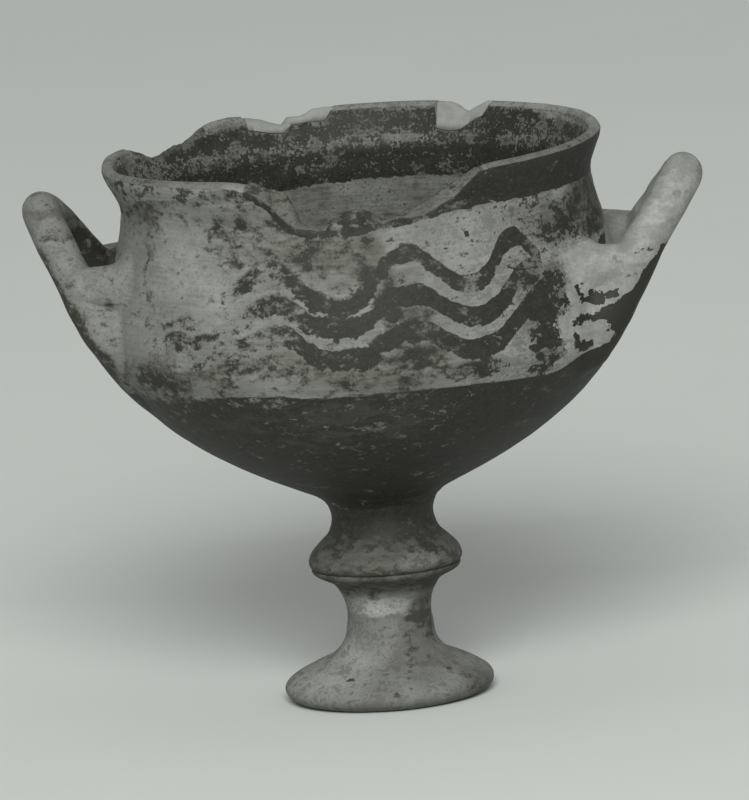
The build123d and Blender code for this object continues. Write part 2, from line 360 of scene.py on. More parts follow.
# Each handle's path from a root to its apex, as if it stood over +X, and the shelves of clay in
# its two crotches with the wall: (x, y, z, radius)
LEFT_HALF = [
    (60.4, -23, 98, 4.4), (62, -23.5, 102, 6.2), (68.4, -24, 110.5, 7.2),
    (75.4, -22.8, 121, 6.4), (80.6, -19.2, 131, 5.6), (85.8, -12, 140.3, 5.5),
    (89.8, 0.0, 147.6, 5.6)]
LEFT_SHELVES = [
    [(64, -24.5, 126.8, 6.5), (71, -24, 126.5, 6.3), (77, -22.8, 126.2, 6.2)],
    [(64, 24.5, 128.4, 6.5), (71, 24, 127.9, 6.3), (77.6, 22.4, 128, 6)]]
RIGHT_HALF = [
    (64.5, -26, 103, 7.8), (68.8, -26, 108.5, 7.6), (76, -24.4, 119, 6.8),
    (83.3, -19.6, 130, 6), (90, -11.6, 139.4, 5.8), (94.1, 0, 144.9, 5.8)]
RIGHT_SHELVES = [
    [(63, -26, 123.8, 6.8), (70, -25.5, 123.7, 6.6), (77.6, -23.8, 123.6, 6.4)],
    [(63, 26, 124.9, 6.8), (70, 25.5, 124.9, 6.6), (77.5, 24, 124.4, 6.4)]]
BLEND = 5.0  # how far the clay of a handle is smeared on to the wall


def handle_field(path, seed):
    """Distance to the handle with its clay smeared on to the wall, negative inside."""
    centres, radii = path[:, :3], path[:, 3]

    def roll(p):
        nearest = np.full(len(p), 1e9)
        for c, r in zip(centres, radii):
            nearest = np.minimum(nearest, np.linalg.norm(p - c, axis=1) - r)
        return nearest + 0.22 * lumps(p, 26, seed) + 0.10 * lumps(p, 9, seed + 1)

    def wall(p):
        z = p[:, 2]
        steep = outside_radius(z + 0.5) - outside_radius(z - 0.5)
        proud = off_axis(p) - outside_radius(z) - unevenness(p, False)
        return proud / np.sqrt(1 + steep ** 2)

    def field(p):
        a, b = roll(p), wall(p)
        h = np.clip(0.5 + 0.5 * (b + 0.06 - a) / BLEND, 0, 1)
        joined = (b + 0.06) * (1 - h) + a * h - BLEND * h * (1 - h)
        return np.maximum(joined, np.maximum(-(b + 1.4), a - BLEND - 0.3))

    return field


def surface_net(field, low, high, step):
    """A closed mesh of quads where the field is zero, with its points moved on to it."""
    size = np.ceil((np.array(high) - low) / step).astype(int) + 1
    axes = [low[k] + step * np.arange(size[k]) for k in range(3)]
    p = np.stack(np.meshgrid(*axes, indexing="ij"), axis=-1).reshape(-1, 3)
    f = np.concatenate([field(part) for part in np.array_split(p, 40)]).reshape(size)
    inner = f < 0
    total = np.zeros(tuple(size - 1) + (3,))
    count = np.zeros(tuple(size - 1))
    for axis in range(3):
        for corner in ((0, 0), (0, 1), (1, 0), (1, 1)):
            near, far = np.insert(corner, axis, 0), np.insert(corner, axis, 1)
            f0, f1 = [f[tuple(slice(s, s + n - 1) for s, n in zip(start, size))]
                      for start in (near, far)]
            cross = (f0 < 0) != (f1 < 0)
            point = np.zeros(total.shape) + near
            point[..., axis] = np.where(cross, f0 / np.where(cross, f0 - f1, 1), 0)
            total += point * cross[..., None]
            count += cross
    used = count > 0
    number = np.full(used.shape, -1)
    number[used] = np.arange(used.sum())
    cells = np.argwhere(used)
    verts = np.array(low) + step * (cells + total[used] / count[used][:, None])
    faces = []
    for axis in range(3):
        u, v = (axis + 1) % 3, (axis + 2) % 3
        near, far = [slice(1, -1)] * 3, [slice(1, -1)] * 3
        near[axis], far[axis] = slice(0, -1), slice(1, None)
        a, b = inner[tuple(near)], inner[tuple(far)]
        for flag, order in ((a & ~b, (0, 1, 2, 3)), (~a & b, (3, 2, 1, 0))):
            at = np.argwhere(flag)
            at[:, [u, v]] += 1
            ring = []
            for du, dv in ((-1, -1), (0, -1), (0, 0), (-1, 0)):
                cell = at.copy()
                cell[:, u] += du
                cell[:, v] += dv
                ring.append(number[tuple(cell.T)])
            faces.append(np.stack([ring[k] for k in order], axis=1))
    for _ in range(2):
        value = field(verts)
        slope = np.stack([(field(verts + d) - field(verts - d)) / 0.2
                          for d in np.eye(3) * 0.1], axis=1)
        move = -value[:, None] * slope / np.maximum((slope ** 2).sum(1), 0.25)[:, None]
        verts = verts + np.clip(move, -0.3 * step, 0.3 * step)
    return verts, np.vstack(faces)


def make_handle(name, node, turn, half, shelves, material, seed):
    """A rolled loop over +X, turned to its side of the bowl."""
    loop = half + [(x, -y, z, r) for x, y, z, r in half[-2::-1]]
    path = np.vstack([through(loop, 110), *[through(shelf, 14) for shelf in shelves]])
    c, s = math.cos(turn), math.sin(turn)
    x, y = path[:, 0].copy(), path[:, 1].copy()
    path[:, 0], path[:, 1] = c * x - s * y, s * x + c * y
    low = (path[:, :3] - path[:, 3:]).min(0) - BLEND - 1
    high = (path[:, :3] + path[:, 3:]).max(0) + BLEND + 1
    step = 0.75
    verts, faces = surface_net(handle_field(path, seed), low, high, step)
    return piece(name, leaned(verts), faces, node, material)


# ---- stem and foot

# Outlines as (radius, height), which start and end just off the axis
STEM_OUTLINE = [
    (0.4, 61), (8, 61), (16, 60.9), (18.4, 60.3), (18, 59.5), (16.35, 58), (15.4, 56.2), (14.7, 54),
    (14.6, 52.6), (14.9, 50.7), (16.1, 47.8), (19, 44.9), (21.3, 42.4), (22, 40.8), (22.05, 39.7),
    (21.75, 38.8), (21.2, 38.4), (10, 38.4), (0.4, 38.4)]
FOOT_OUTLINE = [
    (0.4, 38.4), (10, 38.4), (20.7, 38.4), (21.3, 38.15), (21.35, 37.3), (20.2, 36.2), (18, 35.1),
    (15.3, 33.4), (13.3, 30.4), (12.3, 27.5), (12, 24), (12.4, 20.6), (12.9, 17.6), (14.2, 14.8),
    (17, 12.2), (21.6, 10.1), (26.4, 7.6), (29.2, 5.6), (30.1, 3.8), (29.6, 2.2), (27.9, 0.9),
    (26, 0.2), (24.4, 0), (22, 0), (19.4, 0), (18.6, 0.6), (12, 7), (5.5, 12.4), (3.5, 13),
    (0.4, 13)]


def make_turned(name, node, outline, rows, material, edit=None):
    """A solid turned from an outline that starts and ends on the axis, with small dents."""
    path, dent = through(outline, rows), 0.10
    azimuth = np.arange(TURNED_COLUMNS) * 360 / TURNED_COLUMNS - 180
    one = np.ones((1, TURNED_COLUMNS))
    p = polar(path[:, :1] * one, azimuth, path[:, 1:] * one)
    off = dent * lumps(p, 22, 7) + 0.5 * dent * lumps(p, 7, 8) + 0.25 * dent * lumps(p, 3, 9)
    off *= 1 - smooth(52, 56, p[:, 2])
    r = off_axis(p)
    p[:, :2] *= (1 + off * smooth(3, 10, r) / np.maximum(r, 5))[:, None]
    if edit:
        p = edit(p)
    faces = capped_grid(rows, TURNED_COLUMNS, len(p), len(p) + 1)
    p = np.vstack([p, [(0, 0, path[0, 1]), (0, 0, path[-1, 1])]])
    return piece(name, p, faces, node, material)


def foot_aside(p):
    """The disc of the foot sits a little to -X of the stem, and no lower than the floor."""
    p = p.copy()
    p[:, 0] -= 1.4 * (1 - smooth(5, 22, p[:, 2]))
    p[:, 2] = np.maximum(p[:, 2], 0)
    return p


# ---- materials

class Value:
    """A number or vector in a material, built up with plain arithmetic."""

    def __init__(self, tree, socket):
        self.tree, self.socket = tree, socket

    def math(self, operation, *others):
        node = add(self.tree, "Math", self, *others, operation=operation)
        return Value(self.tree, node.outputs[0])

    def __add__(self, other): return self.math("ADD", other)
    def __sub__(self, other): return self.math("SUBTRACT", other)
    def __rsub__(self, other): return self.math("MULTIPLY_ADD", -1.0, other)
    def __mul__(self, other): return self.math("MULTIPLY", other)
    def __truediv__(self, other): return self.math("DIVIDE", other)
    def __abs__(self): return self.math("ABSOLUTE")
    __radd__, __rmul__ = __add__, __mul__


def add(tree, kind, *given, operation=None, **named):
    """A new shader node, with inputs given in their order or by name: values, or plain numbers."""
    node = tree.nodes.new("ShaderNode" + kind)
    if operation:
        node.operation = operation
    slots = list(zip(node.inputs, given)) + [(node.inputs[name], named[name]) for name in named]
    for slot, value in slots:
        if isinstance(value, Value):
            tree.links.new(value.socket, slot)
        else:
            slot.default_value = value
    return node


def ramp(low, high, value, start=0.0, end=1.0):
    """start below low, end above high, smooth between."""
    node = add(value.tree, "MapRange", value, low, high, start, end)
    node.interpolation_type = "SMOOTHSTEP"
    return Value(value.tree, node.outputs[0])


def fall(low, high, value):
    """1 below low, 0 above high."""
    return ramp(low, high, value, 1.0, 0.0)


def band(start, end, value, soft):
    """1 from start to end, softened."""
    return ramp(start - soft, start + soft, value) * fall(end - soft, end + soft, value)


def between(share, first, second):
    """first where the share is 0, second where it is 1."""
    return share * (second - first) + first


def most(*values):
    """The greatest of the values."""
    out = values[0]
    for value in values[1:]:
        out = out.math("MAXIMUM", value)
    return out


def profile(value, points):
    """A smooth line through (position, height) points, read at the value."""
    low, high = points[0][0], points[-1][0]
    heights = [h for _, h in points]
    base, span = min(heights), max(heights) - min(heights)
    node = add(value.tree, "FloatCurve", Value=(value - low) / (high - low))
    line = node.mapping.curves[0]
    while len(line.points) < len(points):
        line.points.new(0.5, 0.5)
    for point, (x, h) in zip(line.points, points):
        point.location = ((x - low) / (high - low), (h - base) / span)
    node.mapping.update()
    return Value(value.tree, node.outputs[0]).math("MULTIPLY_ADD", span, base)


class Surface:
    """One material, with the coordinates (mm and degrees) and noises that its patterns read.

    The surface lies in a stretch of azimuths, and patterns outside it are left out.
    """

    def __init__(self, name, lean=True, stretch=(-200, 200)):
        self.stretch = stretch
        self.material = bpy.data.materials.new(name)
        self.material.use_nodes = True
        self.tree = self.material.node_tree
        self.shader = self.tree.nodes["Principled BSDF"]
        self.place = self.scaled(self.read("TexCoord", "Object"), 1 / MM)
        split = add(self.tree, "SeparateXYZ", self.place)
        x, y, z = [Value(self.tree, out) for out in split.outputs]
        self.z = z - x * math.sin(LEAN) if lean else z
        x = x + (z - SEAT) * math.sin(LEAN) if lean else x
        self.azimuth = x.math("ARCTAN2", y * -1.0) * (180 / math.pi)
        self.radius = (x * x + y * y).math("SQRT")
        self.fine = self.noise(0.8, 2, 0.6, 3)
        self.grain = self.noise(2.1, 3, 0.6, 11, (1.5, 1.5, 0.9))
        self.mottle = self.noise(6.5, 3, 0.58, 23)
        self.broad = self.noise(26.0, 2, 0.5, 37)
        # Paint is gone where wear, about 0.5, is low. Soil, about 1, darkens bare clay.
        self.wear = self.mottle * 0.15 + self.grain * 0.24 + self.fine * 0.12 + 0.5
        soil = self.mottle * 0.18 + self.grain * 0.18 + self.fine * 0.13 + 1.0
        self.soil = soil.math("MAXIMUM", 0.6)
        # How far painted edges wander, in mm, and the coordinates of patches, which wander too
        ragged = self.mottle * 0.34 + self.grain * 0.28 + self.fine * 0.06
        self.ragged = ragged * ramp(6, 22, self.azimuth, 1.0, 0.45)
        self.across = self.azimuth + self.mottle * 0.5 + self.grain * 0.35
        self.upward = self.z + self.grain * 0.4

    def read(self, kind, output, *given, **named):
        """One output of a new node."""
        return Value(self.tree, add(self.tree, kind, *given, **named).outputs[output])

    def scaled(self, vector, scale):
        return self.read("VectorMath", "Vector", vector, operation="SCALE", Scale=scale)

    def noise(self, size, detail, rough, shift, stretch=(1, 1, 1)):
        """Noise about size mm across, mostly between -1 and 1."""
        where = self.read("Mapping", "Vector", Vector=self.place,
                          Location=(shift, shift * 0.7, shift * 1.3),
                          Scale=[1 / (size * s) for s in stretch])
        noise = self.read("TexNoise", "Fac", Vector=where, Scale=1.0, Detail=detail,
                          Roughness=rough)
        return noise.math("MULTIPLY_ADD", 14.0, -7.0)

    def mark(self, name):
        """The mesh's mark of that name."""
        node = add(self.tree, "Attribute")
        node.attribute_name = name
        return Value(self.tree, node.outputs["Fac"])

    @property
    def nothing(self):
        return self.grain * 0.0

    def covers(self, start, end):
        return end > self.stretch[0] and start < self.stretch[1]

    def patches(self, spots, crisp=0.25):
        """Soft ragged ovals, added up: (azimuth, z, half width in degrees, half height in mm,
        strength, and for some a tilt in degrees)."""
        total = None
        for azimuth, z, wide, high, strength, *tilt in spots:
            if not self.covers(azimuth - 1.5 * wide, azimuth + 1.5 * wide):
                continue
            turn = math.radians(tilt[0]) if tilt else 0.0
            shift = azimuth * math.cos(turn) + z * math.sin(turn)
            lift = z * math.cos(turn) - azimuth * math.sin(turn)
            aside = self.across.math("MULTIPLY_ADD", math.cos(turn) / wide, -shift / wide)
            above = self.upward.math("MULTIPLY_ADD", math.cos(turn) / high, -lift / high)
            if turn:
                aside = self.upward.math("MULTIPLY_ADD", math.sin(turn) / wide, aside)
                above = self.across.math("MULTIPLY_ADD", -math.sin(turn) / high, above)
            away = above.math("MULTIPLY_ADD", above, aside * aside)
            spot = ramp(crisp ** 2, 1.25 ** 2, away, strength, 0.0)
            total = spot if total is None else total + spot
        return self.nothing if total is None else total

    def paint(self, light, dark, cover, soft, wear=None):
        """Dark paint worn off light clay, so that about the share cover of it is left."""
        edge = 1.0 - cover
        left = ramp(edge - soft, edge + soft, wear or self.wear)
        return between(left, light, dark), left

    def finish(self, value, height, roughness, depth):
        """The colour from a linear grey, tinted as the print is, and a bump from the height."""
        tint = add(self.tree, "ValToRGB", value)
        stops = tint.color_ramp.elements
        stops.new(0.5)
        for stop, (grey, shade) in zip(stops, TINTS):
            stop.position, stop.color = grey, shade
        colour = self.scaled(Value(self.tree, tint.outputs["Color"]), value)
        bump = self.read("Bump", "Normal", Strength=1.0, Distance=MM * depth, Height=height)
        inputs = self.shader.inputs
        for name, given in (("Base Color", colour), ("Roughness", roughness), ("Normal", bump)):
            self.tree.links.new(given.socket, inputs[name])
        inputs["Specular IOR Level"].default_value = 0.25
        return self.material


# ---- where the paint is and is worn

PAINT = 0.0205  # linear grey of the dark paint
# Tint of a linear grey, as (grey, colour)
TINTS = [(0.03, (1, 1, 0.78, 1)), (0.16, (0.965, 1, 0.9, 1)), (0.45, (0.952, 1, 0.95, 1))]

# The three wavy bands in front: centre line as (azimuth, z), half thickness, and how much is left
WAVES = [
    ([(-34, 128), (-30, 131), (-27, 133.6), (-23.3, 136), (-20.3, 136.4), (-17.5, 134.8),
      (-13.8, 130.4), (-9.3, 127.2), (-5.3, 125.4), (-1.8, 126.9), (2.6, 131.2), (6, 135.7),
      (9, 138.1), (11.5, 138.4), (14.5, 136.7), (18.3, 132.6), (21.8, 129.3), (25, 127.9),
      (28.8, 129.2), (32.8, 133.4), (36.5, 137.4), (39.2, 138.3), (41.5, 136.4), (44.5, 132.2),
      (48, 128)], 2.8,
     [(-34, 0.1), (-30, 0.42), (-26.5, 0.8), (-22, 0.5), (-17, 0.74), (-8, 0.8), (-2, 0.9),
      (4, 1.1), (8, 0.95), (12, 0.78), (16, 0.98), (21, 0.95), (25, 0.66), (29, 0.8), (34, 1),
      (38, 1.2), (41, 1.2), (43.5, 0.7), (48, 0.5)]),
    ([(-52, 115.5), (-46.5, 116.3), (-39.5, 116), (-35, 118.2), (-30, 121.2), (-26, 124.6),
      (-22.5, 127), (-20.5, 127.3), (-16.8, 125.6), (-12.3, 122.1), (-7.8, 120), (-4.3, 119.4),
      (0.4, 120.6), (4, 124.6), (8.5, 127.2), (13, 126.8), (17.3, 123.6), (21.5, 120.3),
      (25.5, 118.8), (29.8, 120.2), (34, 123.6), (37.5, 127), (40, 128.4), (43, 129),
      (48, 127)], 2.9,
     [(-52, 0.1), (-49, 0.5), (-46, 0.86), (-42.5, 0.35), (-39.5, 0.7), (-36, 0.36), (-30, 0.32),
      (-26, 0.42), (-23, 0.68), (-16, 0.8), (-8, 0.88), (4, 1), (16, 1.1), (30, 1.1), (34, 0.95),
      (38, 0.8), (42, 0.5), (48, 0.4)]),
    ([(-48, 110), (-40, 111.5), (-35, 113), (-30, 115), (-26, 116.2), (-21.5, 118.2), (-18, 118.2),
      (-15, 116.3), (-11.8, 112.9), (-7.3, 110.8), (-1.8, 110.8), (2.8, 113.6), (6.5, 116.2),
      (10.5, 117.6), (13, 117), (16.3, 114.4), (19.5, 111.9), (24, 109.9), (28.3, 110.4),
      (32.8, 113.6), (37, 117.2), (41, 120.5), (48, 124)], 3.0,
     [(-48, 0.1), (-42, 0.3), (-36, 0.4), (-31, 0.48), (-27, 0.68), (-24, 0.62), (-21, 0.5),
      (-18, 0.86), (-8, 0.95), (0, 1.1), (5, 1.2), (9, 0.75), (14, 0.72), (18, 1), (30, 1.15),
      (38, 1), (48, 1)]),
]
# The bands at the back, as (height, half thickness)
BACK_WAVES = [(136.5, 2.2), (127, 2.8), (117.5, 2.6)]
# The lower edge of the neck's band, how much of it is left, and the dark body's upper edge
NECK_LINE = [
    (-180, 147), (-90, 147.5), (-60, 154.5), (-40, 157), (-28, 160), (-26, 158.3), (-23.2, 155.6),
    (-21.5, 153.9), (-19.8, 151.4), (-18.5, 149.1), (-16.8, 147.2), (-14, 145.8), (-11, 145.2),
    (-3, 144.9), (3, 145.3), (10, 146.1), (17, 147.2), (23, 148.3), (31, 148.8), (46, 148.6),
    (60, 148.2), (83, 147.4), (120, 147), (180, 147)]
NECK_LEFT = [
    (-180, 0.85), (-100, 0.7), (-60, 0.35), (-34, 0.35), (-26, 0.85), (-22, 1.1), (-14, 1.1),
    (0, 1.1), (18, 1), (24, 1.1), (30, 1.3), (90, 1.3), (130, 1), (180, 0.85)]
BODY_LINE = [
    (-180, 100), (-120, 99.5), (-90, 98), (-60, 97.6), (-50, 98.4), (-42, 99.6), (-32, 100.8),
    (-22, 101), (-12, 100.1), (0, 100.1), (12, 99.9), (22, 99.5), (35, 98.5), (45, 98), (51, 99.2),
    (56, 101.4), (61, 103.2), (68, 105.5), (85, 108), (110, 104), (140, 100.5), (180, 100)]
# Patches as Surface.patches takes them. First stains on the bare clay, two of them partly painted
# shade
STAINS_AND_SHADE = [
    (-22, 145, 18, 12, 0.58), (-3, 139, 11, 9, 0.46), (1.5, 138.5, 5, 8, 0.34),
    (2.6, 131.4, 3.4, 4.4, 0.8), (-28.7, 149.6, 2.2, 1.9, 0.7), (-33.8, 149.6, 2.4, 1.6, 0.3),
    (-34, 146.6, 2.2, 1.1, 0.3), (-59.5, 139.8, 3.4, 1.5, 0.6, -35), (-45, 149.6, 1.1, 2.8, 0.55),
    (-44.5, 122.4, 2.2, 1, 0.5), (-57, 128.4, 2, 1.5, 0.35), (-44, 159.2, 30, 3.6, 0.72),
    # (-60, 101) is a stain by the left edge of the lower body, and partly painted shade where the
    # wall turns away
    (-68, 153, 14, 9, 0.5), (-60, 101, 16, 10, 0.6), (-34, 107, 28, 8, 0.54),
    (12, 105.5, 26, 8, 0.7), (10, 111.5, 8, 6, 0.38), (13.6, 109.8, 4.8, 3.6, 0.34),
    (24, 104.2, 9, 3.4, 0.6), (7.5, 102.6, 3, 1.6, 0.3), (50, 141, 14, 9, 0.72),
    # (74, 140) is a stain on the neck inside the right handle's loop, and partly painted shade
    # there
    (-16, 124, 18, 17, 0.3), (55, 138, 8, 7, 0.5), (74, 140, 15, 12, 0.95), (11, 132.5, 5, 3, 0.5),
    (21, 138.3, 0.8, 0.7, 1.3), (27, 141.8, 0.9, 0.7, 1.3), (8.2, 142.6, 1.1, 0.7, 0.9),
    (2, 143.6, 1.6, 1, 0.7), (-52, 156, 13, 5, 0.36), (-59, 149, 6, 8, 0.3), (-38, 152, 7, 4, 0.15),
    (-48, 121, 12, 8, 0.24), (-40, 112, 12, 6, 0.3), (-20, 104, 10, 5, -0.25),
    (-47, 115.6, 4.5, 1.6, 0.5), (-52, 104.5, 8, 3, 0.3)]
# Stains over the bands as well
BLOTS = [
    (10.5, 121.6, 6.5, 2.6, 0.9), (5.4, 124, 3, 6.5, 0.96), (5.6, 130.5, 3.4, 5.5, 0.8),
    (6, 114.6, 4, 3.6, 0.8), (45, 120.5, 7, 7.5, 0.72), (42, 112, 5.5, 8, 0.7),
    (44.5, 104, 6, 7, 0.66), (49, 125.5, 4.6, 4.6, 0.56), (40, 126.2, 3.4, 3, 0.6),
    (51.5, 118, 2.6, 1.6, 0.9)]
# Paler and darker bare clay
PALE = [
    (60, 122, 11, 12, 0.28), (50, 108, 6, 9, 0.35), (27, 138, 12, 7, 0.1), (48, 141, 12, 8, -0.12),
    (-44, 134, 14, 16, 0.1)]
# Paint that has worn off the neck's band, and off the dark lower body
NECK_WORN = [
    (25.5, 150, 4, 1.4, -0.4), (34, 149.4, 5, 1, -0.2), (35, 149.3, 1.7, 0.4, -1.3, -45),
    (0.2, 147.9, 1.6, 1.1, -0.55), (-4.6, 147.2, 2, 0.9, -0.5), (9.5, 148.6, 1, 0.6, -0.3)]
SCUFFS = [
    (-24, 98.8, 8, 1.8, -0.5), (-36, 98.6, 7, 1.8, -0.3), (-56, 97, 12, 4, -0.3),
    (2, 94.5, 19, 7.5, -0.26), (-10, 90, 24, 8, -0.1), (6.8, 85.6, 2.2, 1.4, -0.6)]
# Browner and paler paint on the lower body
SMEARS = [(-8, 92, 30, 9, 1), (-50, 90, 20, 8, 0.4)]
# A thin stroke over the right end of the uppermost band, as (azimuth, z)
STROKE = [(34, 132.2), (36, 130.6), (38, 129.4), (41, 128.6), (44.5, 128.9), (46, 129.2)]
# Where the flaked place by the right handle begins, as (z, azimuth)
FLAKED_FROM = [
    (84, 46), (96, 45), (100, 46.6), (103.5, 48.8), (106, 49), (108.5, 46.6), (111.5, 46.2),
    (114.2, 48), (116.4, 52.6), (118.6, 51.6), (122, 52.4), (125, 53.4), (128, 51.6), (131, 50),
    (140, 50)]
# What is left in it: islands of paint with crisp edges
ISLANDS = [
    (56, 118.6, 1.4, 2.1, 1), (60.1, 117.1, 1.6, 1.9, 1), (58.3, 115.6, 2.6, 1.3, 1),
    (53.9, 111.2, 2, 1.7, 1), (57, 111, 3.6, 1.1, 1), (61.6, 111.4, 2.1, 3.2, 1),
    (52.7, 106.2, 1.4, 2.2, 1), (55, 103.6, 2.9, 1.4, 1), (60, 107, 1.3, 1.5, 0.52),
    (62.6, 106.6, 1.7, 3, 1), (75.5, 129.3, 4.4, 1, 1)]
# Paint left and gone inside, and the lower edge of its bands as (azimuth from the back, z)
INSIDE_PATCHES = [
    (167.5, 151, 7, 2.4, -0.2), (-174, 151, 7, 1.8, -0.1), (-168, 144.5, 3, 3, -0.4),
    (-175, 146, 3, 3.5, -0.3), (154, 142, 3, 4, -0.3), (128, 153, 7, 7, -0.2),
    (143, 150, 3.5, 4, 0.25), (-114, 153, 14, 7, -0.38), (116, 154, 11, 7, -0.26),
    (-150, 156, 12, 4, 0.15), (-165, 139.5, 8, 1.5, 0.2)]
INSIDE_LINE = [(-90, 137), (-18, 138.2), (0, 139.1), (24, 139.2), (90, 138)]
# Paint left on the lip, its grey as (azimuth, linear grey), and stains in the broken edges
LIP_PAINT = [(-60, 161, 12, 3, 0.35), (-42, 161, 14, 3, 0.2), (60, 161, 25, 3, 0.2)]
LIP_GREY = [
    (-180, 0.192), (-120, 0.2), (-30, 0.21), (15, 0.168), (68, 0.174), (92, 0.255), (125, 0.245),
    (150, 0.212), (180, 0.192)]
EDGE_STAINS = [
    (-5, 149, 2, 1, 0.5), (-1.8, 150.8, 1.4, 1.4, 0.7), (2.2, 150.4, 2, 1.2, 0.8),
    (9, 149.2, 4, 0.8, 0.5), (-126, 157, 14, 5, 0.35), (-24, 158, 10, 4, 0.2)]
# The wall's outside, as (z, radius)
WALL_LINE = [(54, 14.6), *[(z, radius) for radius, z in OUTSIDE_POINTS[2:]], (163, 71.6)]
# How far the dark under each handle, partly paint and partly painted shade, reaches either side of
# its middle, as (z, azimuth)
UNDER_LEFT = [
    (95, 27), (105, 25.3), (110, 23.2), (116, 21.6), (123, 19.2), (131, 15.6), (138, 11.5),
    (142, 7), (155, 0)]
UNDER_RIGHT = [
    (95, 27), (105, 23.8), (110, 24.4), (115, 23.2), (118, 21.2), (121, 19.4), (124, 17.7),
    (129, 15.2), (160, 14)]
# Dirt on the handles, and on the left a darker patch over the inner face of the loop's far branch
LEFT_DARK_PATCHES = [(-101, 141, 5, 8, 0.6), (-89, 148, 2.5, 1.5, 0.5), (-83, 143, 3, 2, 0.3)]
RIGHT_DIRT = [
    (64.5, 121.8, 0.6, 0.6, 0.5), (63.4, 126, 0.6, 0.6, 0.35), (82, 146, 1.6, 1.1, 0.25),
    (76, 141.5, 1.2, 0.8, 0.3), (72, 133.5, 2, 1.5, 0.2), (100, 127, 9, 5, 0.3),
    (66, 119, 3, 6, 0.15)]
# Paint left up the stem as (z, cover), and patches of it
STEM_COVER = [
    (30, 0.85), (38, 0.85), (39.4, 0.74), (40.6, 0.52), (43, 0.52), (46, 0.66), (48.5, 0.95),
    (51.5, 1.25), (56, 1.4), (66, 1.4)]
STEM_PATCHES = [(27, 41.4, 18, 2.6, -0.5), (-10, 43.5, 22, 2.5, -0.1), (40, 44.3, 9, 1.6, 0.5)]
# Dirt up the foot in the same way; the dark under the ring, from z 31 up, is partly painted shadow
# of the ring
FOOT_COVER = [
    (-2, 0.4), (1.5, 0.34), (4.5, 0.2), (6.5, 0.04), (12, 0.02), (20, 0.16), (24.6, 0.26),
    (25.4, -0.1), (29.5, -0.05), (31, 0.35), (32.5, 0.8), (35, 1.05), (39, 1)]
# Dirt on the foot, with painted shade: the patches on its right darken the side away from the
# light, and the one at -60 lightens its left
FOOT_DIRT_AND_SHADE = [
    (46, 19, 36, 10, 0.52), (12, 13, 18, 5, 0.26), (60, 4.5, 16, 4.5, 0.5),
    (-60, 12, 30, 12, -0.12), (-30, 8.9, 3.6, 0.5, 1.1), (0, 5.2, 1.8, 1.4, 1),
    (40, 26, 16, 4, 0.45), (62, 30, 24, 10, 0.6)]
# Painted light: paler patches on the foot's left and front, as if lit from the left
FOOT_PAINTED_LIGHT = [(-14, 28, 44, 3.2, 0.46), (-55, 11, 38, 9, 0.34)]


def wavy_bands(s, at, cover, bright):
    """The wavy bands over the cover so far, with pale edges: (cover, bright, where they are)."""
    a, drawn, edge = s.azimuth, s.nothing, 0.4
    for line, half, left in WAVES:
        start, end = line[0][0], line[-1][0]
        if not s.covers(start, end):
            continue
        off = abs(at - profile(a, line))
        ends = band(start, end - 1.5, a + s.mottle * 0.8, 1.0)
        cover = cover - fall(half, half + 3.0, off) * ends * 0.08
        bright = bright + band(half + 0.2, half + 2.0, off, 0.4) * ends * 0.03
        stroke = fall(half - edge, half + edge, off) * ends
        cover = between(stroke, cover, profile(a, left) + 0.28 * band(-14, 18, a, 8) + 0.04)
        drawn = most(drawn, stroke)
    behind = abs(abs(a) - 180.0)
    for height, half in BACK_WAVES:
        swing = (behind * (2 * math.pi / 29.0)).math("COSINE") * 5.2
        off = abs(at - swing - height)
        stroke = fall(half - edge, half + edge, off) * fall(44, 48, behind)
        cover = between(stroke, cover, 0.78)
        drawn = most(drawn, stroke)
    return cover, bright, drawn


